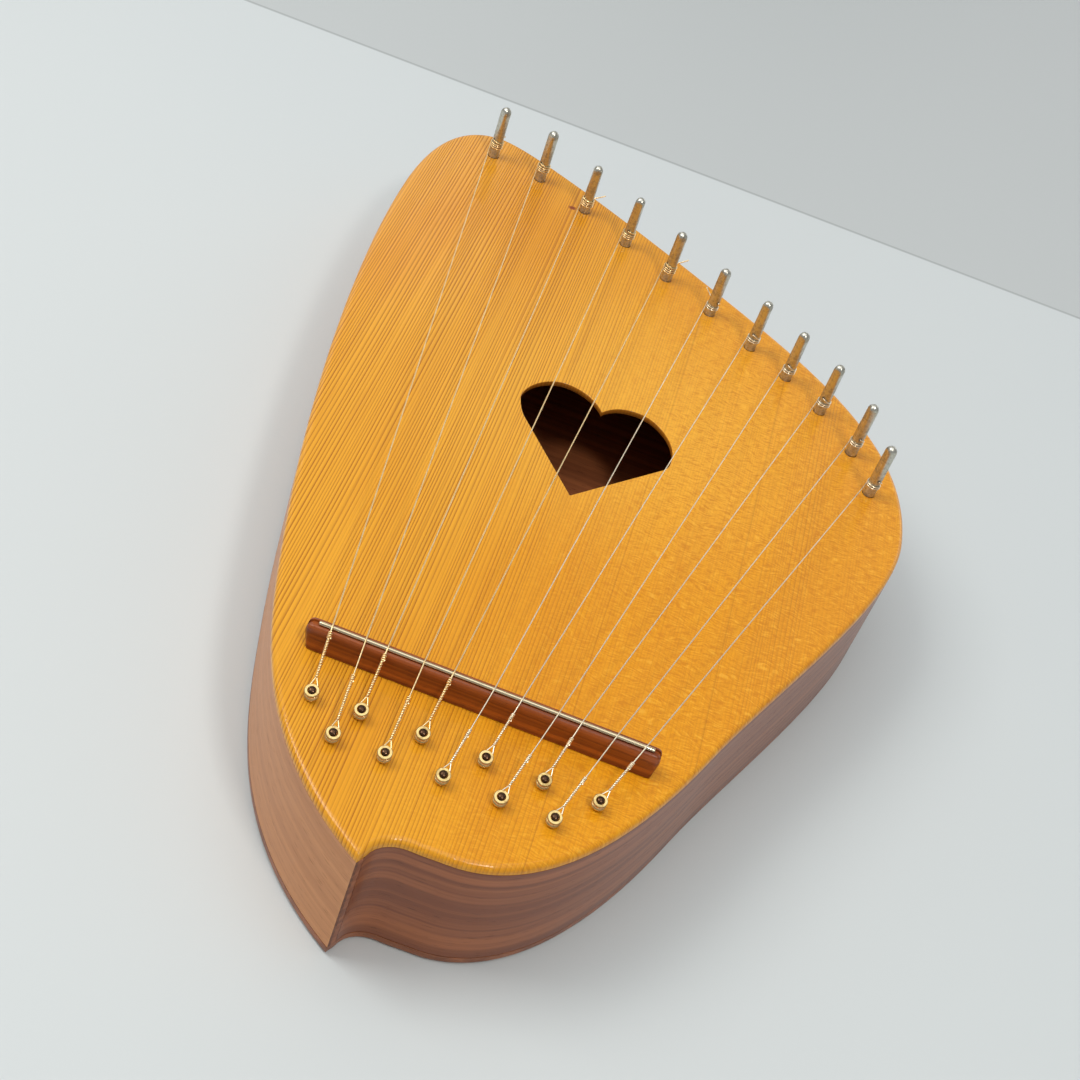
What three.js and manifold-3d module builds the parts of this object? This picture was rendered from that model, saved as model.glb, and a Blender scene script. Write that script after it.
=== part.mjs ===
// Eleven-string lap harp: a leaf-shaped sound box with a heart-shaped sound hole, a fixed bridge,
// eleven strings held by ball ends on hitch nails, and eleven tuning pins.
// Millimetres. +Z is up, the box lies on z = 0, the strings run along Y with the tuning pins at +Y.
// The origin is the middle of the footprint.
import * as THREE from 'three';
import * as BufferGeometryUtils from 'three/addons/utils/BufferGeometryUtils.js';
import Module from 'manifold-3d';

const wasm = await Module();
wasm.setup();

// Sound box
const BOX_HEIGHT = 51;
const SOUNDBOARD_THICKNESS = 3;
const BACK_THICKNESS = 3.5;
const RIB_THICKNESS = 3;
const GLUE_GAP = 0.3;
const BLOCK_HEIGHT = 22;
const PIN_BLOCK_LEFT_X = -119;
const PIN_BLOCK_LEFT_Y = 172.5;
const PIN_BLOCK_RIGHT_X = 96.5;
const PIN_BLOCK_RIGHT_Y = 26.5;
const TAIL_BLOCK_EDGE_Y = -153.5;
const TAIL_BLOCK_NOSE_X = -24.5;
const FILLET_MITRE = 1.5;

// Where each stretch of the outline begins and ends
const NOSE_TIP = [-26.5, -217];
const LEFT_MIDDLE = [-93, -99];
const LEFT_WIDEST = [-125.5, 147.5];
const TOP_SHOULDER = [-95.5, 217];
const PIN_SIDE_MIDDLE = [54, 135.5];
const RIGHT_WIDEST = [125.5, 23.5];
const RIGHT_MIDDLE = [69.5, -125.5];
const BELLY_LOWEST = [-1.5, -206];
const BELLY_END = [-12.5, -206.1];
const FILLET_END = [-24.8, -213.9];
const NOSE_HANDLE = [-71, -187.5];
const FILLET_HANDLE = [-23.3, -208.7];
const OUTLINE_STEPS = 9;
const FILLET_STEPS = 6;

// Heart-shaped sound hole
const HEART_POINT = [-5.5, -24.5];
const HEART_CLEFT = [-5, 33];
const RIGHT_LOBE = { side: 1, shoulder: [25.5, 11.5], widest: [27.5, 20], top: [9.5, 41.5] };
const LEFT_LOBE = { side: -1, shoulder: [-33, 12], widest: [-37.5, 24.5], top: [-22, 43] };
const SHOULDER_ROUNDING = 3;
const LOBE_ROUNDNESS = 0.48;
const CLEFT_SPREAD = 3.5;
const CLEFT_RISE = 5.5;
const SHOULDER_STEPS = 3;
const LOBE_STEPS = 6;

// Bridge and its rod
const BRIDGE_MIDDLE_X = -9;
const BRIDGE_Y = -143.5;
const BRIDGE_LENGTH = 119;
const BRIDGE_BASE_WIDTH = 7.4;
const BRIDGE_TOP_WIDTH = 4.6;
const BRIDGE_HEIGHT = 9.1;
const BRIDGE_SHOULDER_HEIGHT = 8;
const BRIDGE_SHOULDER_OUT = 0.3;
const BRIDGE_TOP_ROUNDING = 0.6;
const ROD_RADIUS = 1;
const ROD_LENGTH = 115;
const ROD_STANDS_PROUD = 0.9;
const ROD_SIDES = 12;

// Tuning pins, lowest string first: where each stands on the soundboard
const PIN_PLACES = [
  [-96, 197.5], [-71, 192], [-45.5, 179], [-22, 164], [1, 148], [24.5, 133.5],
  [46, 118.5], [64.5, 106], [82, 90.5], [98.5, 69.5], [108.5, 46.5],
];
const PIN_RADIUS = 2.5;
const PIN_EXPOSED = 26.5;
const PIN_BURIED = 16.5;
const PIN_POINT = 1.5;
const PIN_HEAD_START = 10.5;
const PIN_NECK_RADIUS = 2.35;
const PIN_DOME_START = 24.6;
const PIN_DOME_STEPS = 3;
const PIN_HEAD_FLATS = 4.3;
const PIN_SIDES = 12;
const PIN_CLEARANCE = 0.3;
const STRING_HOLE_HEIGHT = 9.6;
const STRING_HOLE_RADIUS = 0.6;
const STRING_HOLE_SIDES = 8;

// Hitch nails and ball ends, in two staggered rows
const HITCH_X = [-59.5, -48, -43, -31, -22.5, -12, -1.5, 7, 18, 24.5, 36.5];
const HITCH_NEAR_ROW_Y = -166.5;
const HITCH_FAR_ROW_Y = -179.5;
const NAIL_LEAN = THREE.MathUtils.degToRad(16);
const NAIL_RADIUS = 0.8;
const NAIL_HEAD_RADIUS = 1.05;
const NAIL_HEAD_SINK = 0.5;
const NAIL_HEAD_HEIGHT = 1.1;
const NAIL_HEAD_EDGE = 0.6;
const NAIL_CROWN_RADIUS = 0.7;
const NAIL_CROWN_HEIGHT = 0.95;
const NAIL_BURIED = 14;
const NAIL_SIDES = 8;
const NAIL_CLEARANCE = 0.35;
const BALL_RADIUS = 2.4;
const BALL_GROOVE_RADIUS = 1.85;
const BALL_BORE_RADIUS = 1.35;
const BALL_HEIGHT = 3.4;
const BALL_FLANGE = 0.7;
const BALL_CENTRE_HEIGHT = 2.8;
const BALL_SIDES = 12;

// Strings
const BRONZE_STRINGS = 5;
const BRONZE_RADIUS = 0.32;
const STEEL_RADIUS = 0.25;
const BRIDGE_X = [-62, -50.5, -43, -30.5, -20.5, -6.5, 3, 15.5, 23.5, 35.5, 45.5];
const COIL_START_HEIGHT = 5.8;
const COIL_TURNS = 2.25;
const COIL_PITCH = 1.1;
const COIL_STEPS = 18;
const LOOP_STEPS = 6;
const LOOP_SWEEP = THREE.MathUtils.degToRad(200);
const LOOP_CLOSES_AT = 5.2;
const STRING_SIDES = 6;
const WIRE_GAP = 0.3;

const boardTop = BOX_HEIGHT;
const boardBottom = BOX_HEIGHT - SOUNDBOARD_THICKNESS;
const ribBottom = BACK_THICKNESS + GLUE_GAP;
const ribTop = boardBottom - GLUE_GAP;

// Points along one cubic Bezier stretch, without its last point
function bend(start, startHandle, endHandle, end, steps) {
  const curve = new THREE.CubicBezierCurve(
    new THREE.Vector2(...start),
    new THREE.Vector2(...startHandle),
    new THREE.Vector2(...endHandle),
    new THREE.Vector2(...end),
  );
  return curve.getPoints(steps).slice(0, steps);
}

// The left side, from the nose tip up to the shoulder
function leftRun() {
  return [
    ...bend(NOSE_TIP, NOSE_HANDLE, [-82, -144.5], LEFT_MIDDLE, OUTLINE_STEPS),
    ...bend(LEFT_MIDDLE, [-110.5, -27], [-125.5, 72.5], LEFT_WIDEST, OUTLINE_STEPS),
    ...bend(LEFT_WIDEST, [-125.5, 173.5], [-122.5, 217], TOP_SHOULDER, OUTLINE_STEPS),
    new THREE.Vector2(...TOP_SHOULDER),
  ];
}

// The pin side, the right side, the belly and the hollow fillet back to the nose
function rightRun() {
  return [
    ...bend(TOP_SHOULDER, [-73.5, 217], [21, 158], PIN_SIDE_MIDDLE, OUTLINE_STEPS),
    ...bend(PIN_SIDE_MIDDLE, [97, 106], [125.5, 74], RIGHT_WIDEST, OUTLINE_STEPS),
    ...bend(RIGHT_WIDEST, [125.5, -14.5], [86, -84], RIGHT_MIDDLE, OUTLINE_STEPS),
    ...bend(RIGHT_MIDDLE, [56.5, -158], [33.5, -206], BELLY_LOWEST, OUTLINE_STEPS),
    ...bend(BELLY_LOWEST, [-5, -206], [-9, -206.3], BELLY_END, 2),
    ...bend(BELLY_END, [-18.5, -205.7], FILLET_HANDLE, FILLET_END, FILLET_STEPS),
    new THREE.Vector2(...FILLET_END),
  ];
}

// The same run moved inward, square to itself; inward is to the right of the direction of travel.
// The directions at its two ends are given, so that two runs that meet smoothly also meet inside.
function inset(run, distance, firstTravel, lastTravel) {
  return run.map((point, index) => {
    let travel = lastTravel;
    if (index === 0) {
      travel = firstTravel;
    } else if (index < run.length - 1) {
      travel = run[index + 1].clone().sub(run[index - 1]).normalize();
    }
    return new THREE.Vector2(point.x + travel.y * distance, point.y - travel.x * distance);
  });
}

function direction(from, to) {
  return new THREE.Vector2(to[0] - from[0], to[1] - from[1]).normalize();
}

function ring(centreX, centreY, radius, sides) {
  const path = new THREE.Path();
  const points = [];
  for (let index = 0; index < sides; index += 1) {
    const angle = (index / sides) * Math.PI * 2;
    points.push(new THREE.Vector2(centreX + radius * Math.cos(angle), centreY + radius * Math.sin(angle)));
  }
  path.setFromPoints(points);
  return path;
}

function plate(points, holes, bottom, top) {
  const shape = new THREE.Shape(points);
  shape.holes.push(...holes);
  const geometry = new THREE.ExtrudeGeometry(shape, { depth: top - bottom, bevelEnabled: false });
  geometry.translate(0, 0, bottom);
  return geometry;
}

function toSolid(geometry) {
  const bare = geometry.clone();
  bare.deleteAttribute('normal');
  bare.deleteAttribute('uv');
  const merged = BufferGeometryUtils.mergeVertices(bare, 1e-4);
  return new wasm.Manifold(new wasm.Mesh({
    numProp: 3,
    vertProperties: new Float32Array(merged.attributes.position.array),
    triVerts: new Uint32Array(merged.index.array),
  }));
}

function toGeometry(solid) {
  const mesh = solid.getMesh();
  const geometry = new THREE.BufferGeometry();
  geometry.setAttribute('position', new THREE.BufferAttribute(new Float32Array(mesh.vertProperties), 3));
  geometry.setIndex(new THREE.BufferAttribute(new Uint32Array(mesh.triVerts), 1));
  geometry.computeVertexNormals();
  return geometry;
}

function cutAll(geometry, cutters) {
  let solid = toSolid(geometry);
  for (const cutter of cutters) {
    solid = solid.subtract(toSolid(cutter));
  }
  return toGeometry(solid);
}

// A straight tube of wire needs few sections and a coil needs many, so the route
// is walked by its own parameter instead of by length.
class WireRoute extends THREE.Curve {
  constructor(points) {
    super();
    this.points = points;
  }

  getPoint(t) {
    const place = t * (this.points.length - 1);
    const index = Math.min(Math.floor(place), this.points.length - 2);
    return this.points[index].clone().lerp(this.points[index + 1], place - index);
  }

  getUtoTmapping(u) {
    return u;
  }
}

const group = new THREE.Group();

function add(name, geometry, colour, roughness, metalness) {
  const material = new THREE.MeshStandardMaterial({ color: colour, roughness, metalness });
  const mesh = new THREE.Mesh(geometry, material);
  mesh.name = name;
  group.add(mesh);
  return mesh;
}

const MAHOGANY = 0x9a6447;
const SPRUCE = 0xe2a03a;
const BLOCK_WOOD = 0xb98a58;
const BRIDGE_WOOD = 0x7a3d20;
const AGED_NICKEL = 0xa89a7d;
const BRASS = 0xc9a85c;
const BRONZE = 0xc98f4a;
const STEEL = 0xcfcfd2;
const NAIL_BROWN = 0x3a2a22;

const left = leftRun();
const right = rightRun();
const outline = [...left, ...right.slice(1)];

// One half of the heart after its straight flank: the turn at the shoulder, the lobe, and down into the cleft
function lobe({ side, shoulder, widest, top }) {
  const flank = direction(HEART_POINT, shoulder).multiplyScalar(SHOULDER_ROUNDING);
  const rise = (top[1] - widest[1]) * LOBE_ROUNDNESS;
  const outward = (widest[0] - top[0]) * LOBE_ROUNDNESS;
  const inward = (HEART_CLEFT[0] - top[0]) * LOBE_ROUNDNESS;
  return [
    ...bend(shoulder, [shoulder[0] + flank.x, shoulder[1] + flank.y],
      [widest[0], widest[1] - SHOULDER_ROUNDING], widest, SHOULDER_STEPS),
    ...bend(widest, [widest[0], widest[1] + rise], [top[0] + outward, top[1]], top, LOBE_STEPS),
    ...bend(top, [top[0] + inward, top[1]],
      [HEART_CLEFT[0] + side * CLEFT_SPREAD, HEART_CLEFT[1] + CLEFT_RISE], HEART_CLEFT, LOBE_STEPS),
  ];
}

function heartPath() {
  const path = new THREE.Path();
  path.setFromPoints([
    new THREE.Vector2(...HEART_POINT),
    ...lobe(RIGHT_LOBE),
    new THREE.Vector2(...HEART_CLEFT),
    ...lobe(LEFT_LOBE).reverse(),
  ]);
  return path;
}

// The middle of each ball end; its hitch nail leans through it
const hitchCentres = HITCH_X.map((x, index) => new THREE.Vector3(
  x,
  index % 2 === 0 ? HITCH_NEAR_ROW_Y : HITCH_FAR_ROW_Y,
  boardTop + BALL_CENTRE_HEIGHT,
));

function leaning(geometry, centre) {
  geometry.rotateX(Math.PI / 2);
  geometry.rotateX(NAIL_LEAN);
  geometry.translate(centre.x, centre.y, centre.z);
  return geometry;
}

function nailBore(centre) {
  const length = NAIL_BURIED * 2 + BALL_CENTRE_HEIGHT * 2;
  const radius = NAIL_RADIUS + NAIL_CLEARANCE;
  return leaning(new THREE.CylinderGeometry(radius, radius, length, NAIL_SIDES), centre);
}

// Soundboard with the heart, the pin holes and the nail holes
const pinHoles = PIN_PLACES.map(([x, y]) => ring(x, y, PIN_RADIUS + PIN_CLEARANCE, PIN_SIDES));
const nailBores = hitchCentres.map(nailBore);
add(
  'soundboard',
  cutAll(plate(outline, [heartPath(), ...pinHoles], boardBottom, boardTop), nailBores),
  SPRUCE, 0.28, 0,
);

add('back_plate', plate(outline, [], 0, BACK_THICKNESS), MAHOGANY, 0.5, 0);

const noseTravel = direction(NOSE_TIP, NOSE_HANDLE);
const shoulderTravel = new THREE.Vector2(1, 0);
const filletTravel = direction(FILLET_HANDLE, FILLET_END);

function leftInset(distance) {
  return inset(left, distance, noseTravel, shoulderTravel);
}

function rightInset(distance) {
  return inset(right, distance, shoulderTravel, filletTravel);
}

// The left rib runs out to the nose tip, so its end grain shows there; the right rib butts against it
add(
  'left_rib',
  plate([...left, ...leftInset(RIB_THICKNESS).reverse()], [], ribBottom, ribTop),
  MAHOGANY, 0.4, 0,
);

const rightOuterFace = right.slice();
const rightInnerFace = rightInset(RIB_THICKNESS);
rightOuterFace[0] = right[0].clone().add(new THREE.Vector2(GLUE_GAP, 0));
rightInnerFace[0] = rightInnerFace[0].clone().add(new THREE.Vector2(GLUE_GAP, 0));
const filletLast = right.length - 1;
rightInnerFace[filletLast] = rightInnerFace[filletLast].clone().addScaledVector(filletTravel, -FILLET_MITRE);
add(
  'right_rib',
  plate([...rightOuterFace, ...rightInnerFace.reverse()], [], ribBottom, ribTop),
  MAHOGANY, 0.4, 0,
);

// Blocks inside the box, between the ribs
const BLOCK_INSET = RIB_THICKNESS + GLUE_GAP;
const blockBottom = ribTop - BLOCK_HEIGHT;

const tailRun = [
  ...rightInset(BLOCK_INSET).filter((point) => point.y < TAIL_BLOCK_EDGE_Y && point.x > TAIL_BLOCK_NOSE_X),
  ...leftInset(BLOCK_INSET).filter((point, index) => index > 0 && point.y < TAIL_BLOCK_EDGE_Y),
];
add('tail_block', cutAll(plate(tailRun, [], blockBottom, ribTop), nailBores), BLOCK_WOOD, 0.7, 0);

const pinBlockRun = [
  ...leftInset(BLOCK_INSET).filter((point) => point.y > PIN_BLOCK_LEFT_Y),
  ...rightInset(BLOCK_INSET).filter((point, index) => index > 0 && point.y > PIN_BLOCK_RIGHT_Y),
  ...bend([PIN_BLOCK_RIGHT_X, PIN_BLOCK_RIGHT_Y], [69.5, 92.5], [-40.5, 156.5],
    [PIN_BLOCK_LEFT_X, PIN_BLOCK_LEFT_Y], OUTLINE_STEPS),
];
const pinBlockHoles = PIN_PLACES.map(([x, y]) => ring(x, y, PIN_RADIUS + PIN_CLEARANCE, PIN_SIDES));
add('pin_block', plate(pinBlockRun, pinBlockHoles, blockBottom, ribTop), BLOCK_WOOD, 0.7, 0);

// Bridge: a bar of this section, with a round groove along its top for the rod
const bridgeBottom = boardTop + GLUE_GAP;
const bridgeTop = bridgeBottom + BRIDGE_HEIGHT;
const rodCentreZ = bridgeTop + ROD_STANDS_PROUD - ROD_RADIUS;

function bridgeGeometry() {
  const section = new THREE.Shape();
  const half = BRIDGE_BASE_WIDTH / 2;
  const topHalf = BRIDGE_TOP_WIDTH / 2;
  section.moveTo(-half, 0);
  section.lineTo(half, 0);
  section.lineTo(topHalf + BRIDGE_SHOULDER_OUT, BRIDGE_SHOULDER_HEIGHT);
  section.quadraticCurveTo(topHalf, BRIDGE_HEIGHT, topHalf - BRIDGE_TOP_ROUNDING, BRIDGE_HEIGHT);
  section.lineTo(-topHalf + BRIDGE_TOP_ROUNDING, BRIDGE_HEIGHT);
  section.quadraticCurveTo(-topHalf, BRIDGE_HEIGHT, -topHalf - BRIDGE_SHOULDER_OUT, BRIDGE_SHOULDER_HEIGHT);
  const geometry = new THREE.ExtrudeGeometry(section, {
    depth: BRIDGE_LENGTH,
    bevelEnabled: false,
    curveSegments: 3,
  });
  geometry.translate(0, 0, -BRIDGE_LENGTH / 2);
  geometry.rotateY(Math.PI / 2);
  geometry.rotateX(Math.PI / 2);
  return geometry;
}

function alongX(radius, length, sides) {
  const geometry = new THREE.CylinderGeometry(radius, radius, length, sides);
  geometry.rotateZ(Math.PI / 2);
  return geometry;
}

const bridgeBlank = bridgeGeometry();
bridgeBlank.translate(BRIDGE_MIDDLE_X, BRIDGE_Y, bridgeBottom);
const groove = alongX(ROD_RADIUS + GLUE_GAP, ROD_LENGTH + 2 * GLUE_GAP, ROD_SIDES);
groove.translate(BRIDGE_MIDDLE_X, BRIDGE_Y, rodCentreZ);
add('bridge', cutAll(bridgeBlank, [groove]), BRIDGE_WOOD, 0.4, 0);

const rod = alongX(ROD_RADIUS, ROD_LENGTH, ROD_SIDES);
rod.translate(BRIDGE_MIDDLE_X, BRIDGE_Y, rodCentreZ);
add('bridge_rod', rod, AGED_NICKEL, 0.3, 1);

// Tuning pin: a round shank below, squared above the string hole, with a domed top; z = 0 is the board's top
function tuningPinGeometry() {
  const dome = [];
  for (let step = 1; step < PIN_DOME_STEPS; step += 1) {
    const angle = (step / PIN_DOME_STEPS) * (Math.PI / 2);
    dome.push(new THREE.Vector2(
      PIN_NECK_RADIUS * Math.cos(angle),
      PIN_DOME_START + (PIN_EXPOSED - PIN_DOME_START) * Math.sin(angle),
    ));
  }
  const profile = [
    new THREE.Vector2(0, -PIN_BURIED),
    new THREE.Vector2(PIN_RADIUS - PIN_POINT / 2, -PIN_BURIED),
    new THREE.Vector2(PIN_RADIUS, -PIN_BURIED + PIN_POINT),
    new THREE.Vector2(PIN_RADIUS, PIN_HEAD_START),
    new THREE.Vector2(PIN_NECK_RADIUS, PIN_DOME_START),
    ...dome,
    new THREE.Vector2(0, PIN_EXPOSED),
  ];
  const blank = new THREE.LatheGeometry(profile, PIN_SIDES);
  blank.rotateX(Math.PI / 2);
  const across = new THREE.BoxGeometry(PIN_HEAD_FLATS, PIN_HEAD_FLATS, PIN_EXPOSED);
  across.translate(0, 0, PIN_EXPOSED / 2 + PIN_HEAD_START);
  const belowHeight = PIN_BURIED + PIN_HEAD_START + PIN_POINT;
  const below = new THREE.BoxGeometry(PIN_RADIUS * 3, PIN_RADIUS * 3, belowHeight);
  below.translate(0, 0, (PIN_HEAD_START - PIN_BURIED - PIN_POINT) / 2);
  const keep = toSolid(across).add(toSolid(below));
  const hole = new THREE.CylinderGeometry(
    STRING_HOLE_RADIUS, STRING_HOLE_RADIUS, PIN_RADIUS * 4, STRING_HOLE_SIDES,
  );
  hole.rotateZ(Math.PI / 2);
  hole.translate(0, 0, STRING_HOLE_HEIGHT);
  return toGeometry(toSolid(blank).intersect(keep).subtract(toSolid(hole)));
}

function number(index) {
  return String(index + 1).padStart(2, '0');
}

const pinGeometry = tuningPinGeometry();
PIN_PLACES.forEach(([x, y], index) => {
  const pin = add(`tuning_pin_${number(index)}`, pinGeometry.clone(), AGED_NICKEL, 0.35, 1);
  pin.position.set(x, y, boardTop);
});

// Ball end: a grooved spool with a bore, its axis along Y before it is leaned over
function ballGeometry() {
  const half = BALL_HEIGHT / 2;
  const grooveHalf = half - BALL_FLANGE;
  return new THREE.LatheGeometry([
    new THREE.Vector2(BALL_BORE_RADIUS, -half),
    new THREE.Vector2(BALL_RADIUS, -half),
    new THREE.Vector2(BALL_RADIUS, -grooveHalf),
    new THREE.Vector2(BALL_GROOVE_RADIUS, -grooveHalf),
    new THREE.Vector2(BALL_GROOVE_RADIUS, grooveHalf),
    new THREE.Vector2(BALL_RADIUS, grooveHalf),
    new THREE.Vector2(BALL_RADIUS, half),
    new THREE.Vector2(BALL_BORE_RADIUS, half),
    new THREE.Vector2(BALL_BORE_RADIUS, -half),
  ], BALL_SIDES);
}

// Hitch nail: a point, a thin shank and a small domed head that passes through the ball end's bore
function nailGeometry() {
  const headBottom = BALL_HEIGHT / 2 - NAIL_HEAD_SINK;
  return new THREE.LatheGeometry([
    new THREE.Vector2(0, -NAIL_BURIED - BALL_CENTRE_HEIGHT),
    new THREE.Vector2(NAIL_RADIUS, -NAIL_BURIED),
    new THREE.Vector2(NAIL_RADIUS, headBottom),
    new THREE.Vector2(NAIL_HEAD_RADIUS, headBottom),
    new THREE.Vector2(NAIL_HEAD_RADIUS, headBottom + NAIL_HEAD_EDGE),
    new THREE.Vector2(NAIL_CROWN_RADIUS, headBottom + NAIL_CROWN_HEIGHT),
    new THREE.Vector2(0, headBottom + NAIL_HEAD_HEIGHT),
  ], NAIL_SIDES);
}

hitchCentres.forEach((centre, index) => {
  add(`ball_end_${number(index)}`, leaning(ballGeometry(), centre), BRASS, 0.3, 1);
  add(`hitch_nail_${number(index)}`, leaning(nailGeometry(), centre), NAIL_BROWN, 0.45, 1);
});

// String: round the ball end's groove, up over the rod, along to the pin and up it in a short coil
function stringGeometry(index) {
  const wire = index < BRONZE_STRINGS ? BRONZE_RADIUS : STEEL_RADIUS;
  const centre = hitchCentres[index];
  const [pinX, pinY] = PIN_PLACES[index];
  const loopRadius = BALL_GROOVE_RADIUS + WIRE_GAP + wire;
  const coilRadius = PIN_RADIUS + WIRE_GAP + wire;
  const points = [];
  const alongLean = new THREE.Vector3(0, Math.cos(NAIL_LEAN), Math.sin(NAIL_LEAN));
  for (let step = 0; step <= LOOP_STEPS; step += 1) {
    const angle = -LOOP_SWEEP / 2 + (step / LOOP_STEPS) * LOOP_SWEEP;
    points.push(centre.clone()
      .addScaledVector(alongLean, -loopRadius * Math.cos(angle))
      .add(new THREE.Vector3(-loopRadius * Math.sin(angle), 0, 0)));
  }
  points.push(centre.clone().addScaledVector(alongLean, LOOP_CLOSES_AT));
  const rodTop = rodCentreZ + ROD_RADIUS + WIRE_GAP + wire;
  points.push(new THREE.Vector3(BRIDGE_X[index], BRIDGE_Y, rodTop));
  for (let step = 0; step <= COIL_STEPS; step += 1) {
    const turned = Math.PI - (step / COIL_STEPS) * COIL_TURNS * Math.PI * 2;
    points.push(new THREE.Vector3(
      pinX + coilRadius * Math.cos(turned),
      pinY + coilRadius * Math.sin(turned),
      boardTop + COIL_START_HEIGHT + (step / COIL_STEPS) * COIL_TURNS * COIL_PITCH,
    ));
  }
  const section = new THREE.Shape(ring(0, 0, wire, STRING_SIDES).getPoints());
  return new THREE.ExtrudeGeometry(section, {
    steps: points.length - 1,
    bevelEnabled: false,
    extrudePath: new WireRoute(points),
  });
}

PIN_PLACES.forEach((place, index) => {
  const bronze = index < BRONZE_STRINGS;
  add(`string_${number(index)}`, stringGeometry(index), bronze ? BRONZE : STEEL, 0.3, 1);
});

export default group;
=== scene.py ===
import math
import random

import bpy
import bmesh
from mathutils import Matrix, Vector
from mathutils.geometry import tessellate_polygon

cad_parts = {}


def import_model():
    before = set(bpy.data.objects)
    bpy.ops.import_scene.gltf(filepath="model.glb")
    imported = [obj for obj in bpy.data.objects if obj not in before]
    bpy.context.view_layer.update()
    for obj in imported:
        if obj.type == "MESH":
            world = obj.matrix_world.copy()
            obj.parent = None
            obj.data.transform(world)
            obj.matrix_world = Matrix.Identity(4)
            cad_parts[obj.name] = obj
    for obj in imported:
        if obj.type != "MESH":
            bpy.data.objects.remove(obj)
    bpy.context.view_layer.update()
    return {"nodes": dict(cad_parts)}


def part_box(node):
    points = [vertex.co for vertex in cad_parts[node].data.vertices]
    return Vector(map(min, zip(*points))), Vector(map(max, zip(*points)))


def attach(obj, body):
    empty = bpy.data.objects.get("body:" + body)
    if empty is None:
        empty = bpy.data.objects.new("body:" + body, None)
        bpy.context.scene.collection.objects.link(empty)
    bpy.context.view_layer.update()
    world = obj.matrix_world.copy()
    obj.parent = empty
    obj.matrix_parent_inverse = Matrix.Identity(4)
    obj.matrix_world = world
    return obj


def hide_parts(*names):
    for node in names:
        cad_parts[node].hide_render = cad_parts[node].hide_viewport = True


# Looks of an eleven-string lap harp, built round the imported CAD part.
# Metres. +Z is up, the strings run along Y, and the tuning pins are at +Y.

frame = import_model()

MM = 0.001

# The strings and their pins are numbered from the longest, and the bronze ones come first
NUMBERS = range(1, 12)
BRONZE_STRINGS = 5
ROOT = "sound_box"

# The sound box
BOARD_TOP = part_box("soundboard")[1].z
BOARD_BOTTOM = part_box("soundboard")[0].z
BACK_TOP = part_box("back_plate")[1].z
BOARD_EDGE_RADIUS = 2.2 * MM
BACK_EDGE_RADIUS = 1.4 * MM
# A flat ring left between a plate's rounded edge and its filled face
EDGE_RING = 0.8 * MM
HEART_RIM_DEPTH = 2.0 * MM
RIB_THICKNESS = 3 * MM
RIB_CORNER = 0.25 * MM
RIB_GAP = 0.06 * MM
# The outer part of a rib's end at the nose shows its end grain
NOSE_STRIP = 1.2 * MM
# How far the right rib's end at the nose is cut back on its inner face
FILLET_TRIM = 1.2 * MM

# The tuning pins, with heights above the soundboard
PIN_RADIUS = 2.5 * MM
PIN_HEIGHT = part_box("tuning_pin_01")[1].z - BOARD_TOP
PIN_BURIED = 3 * MM
PIN_HOLE_IN_BOARD = PIN_RADIUS + 0.05 * MM
PIN_SIDES = 32
PIN_HOLE_HEIGHT = 9.6 * MM
PIN_HOLE_RADIUS = 0.62 * MM
PIN_FLATS_START = 8.6 * MM
PIN_FLATS_TOP_HALF = 2.02 * MM
PIN_FLATS_CURVE = 0.55
PIN_CORNER_SHARPNESS = 24
PIN_TAPER = 0.06 * MM
PIN_DOME_HEIGHT = 2.4 * MM
PIN_DOME_RADIUS = 2.25 * MM
THREAD_TOP = 8.2 * MM
THREAD_PITCH = 0.75 * MM
THREAD_DEPTH = 0.055 * MM
# Rings of the mesh in each turn of the thread
THREAD_RINGS = 6
# How much deeper than its CAD pin each pin is driven
PIN_SINK = [depth * MM for depth in (0.5, 0.3, 1.9, 1.3, 1.1, 2.3, 1.3, 1.8, 1.3, 0.3, 1.1)]
# Which way each pin's string hole faces, about Z from +X
PIN_TURN = [math.radians(a) for a in (-128, -130, 196, -100, 215, -40, -112, -122, -118, -75, -62)]

# The nails and the ball ends they hold, which lean back together
NAIL_LEAN = math.radians(16)
NAIL_LENGTH = 8 * MM
NAIL_SHANK = 0.8 * MM
NAIL_HEAD = 1.16 * MM
NAIL_HOLE_IN_BOARD = 1.05 * MM
BALL_RADIUS = 2.4 * MM
BALL_HALF = 1.7 * MM
BALL_GROOVE = 1.75 * MM
BALL_BORE = 1.3 * MM
BALL_LIP = 0.18 * MM
BALL_HEIGHT_ABOVE_BOARD = 2.8 * MM

# The strings: radius of each wire, and how many radii its coil stands off the pin
BRONZE_WIRE = 0.28 * MM
STEEL_WIRE = 0.24 * MM
WIRE_STANDS_OFF = 1.15
COIL_START = 5.2 * MM
# Radians of turn between a coil's points, and over which it climbs to its hole
COIL_STEP = 0.22
COIL_CLIMB = 1.5
# The clipped tails, by string: how far each reaches past its pin, rises and bends
TAILS = {
    1: (2.2 * MM, 0.4 * MM, 0.6 * MM),
    3: (5.0 * MM, 2.0 * MM, 1.0 * MM),
    5: (5.2 * MM, 2.4 * MM, -0.6 * MM),
    6: (4.2 * MM, 2.6 * MM, 0.4 * MM),
    8: (4.6 * MM, 1.6 * MM, 0.8 * MM),
}

ROD_RADIUS = 0.82 * MM
# Where the floor turns a shade greyer, along a thin line of painted shade
CREASE_Y = 0.3565

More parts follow.
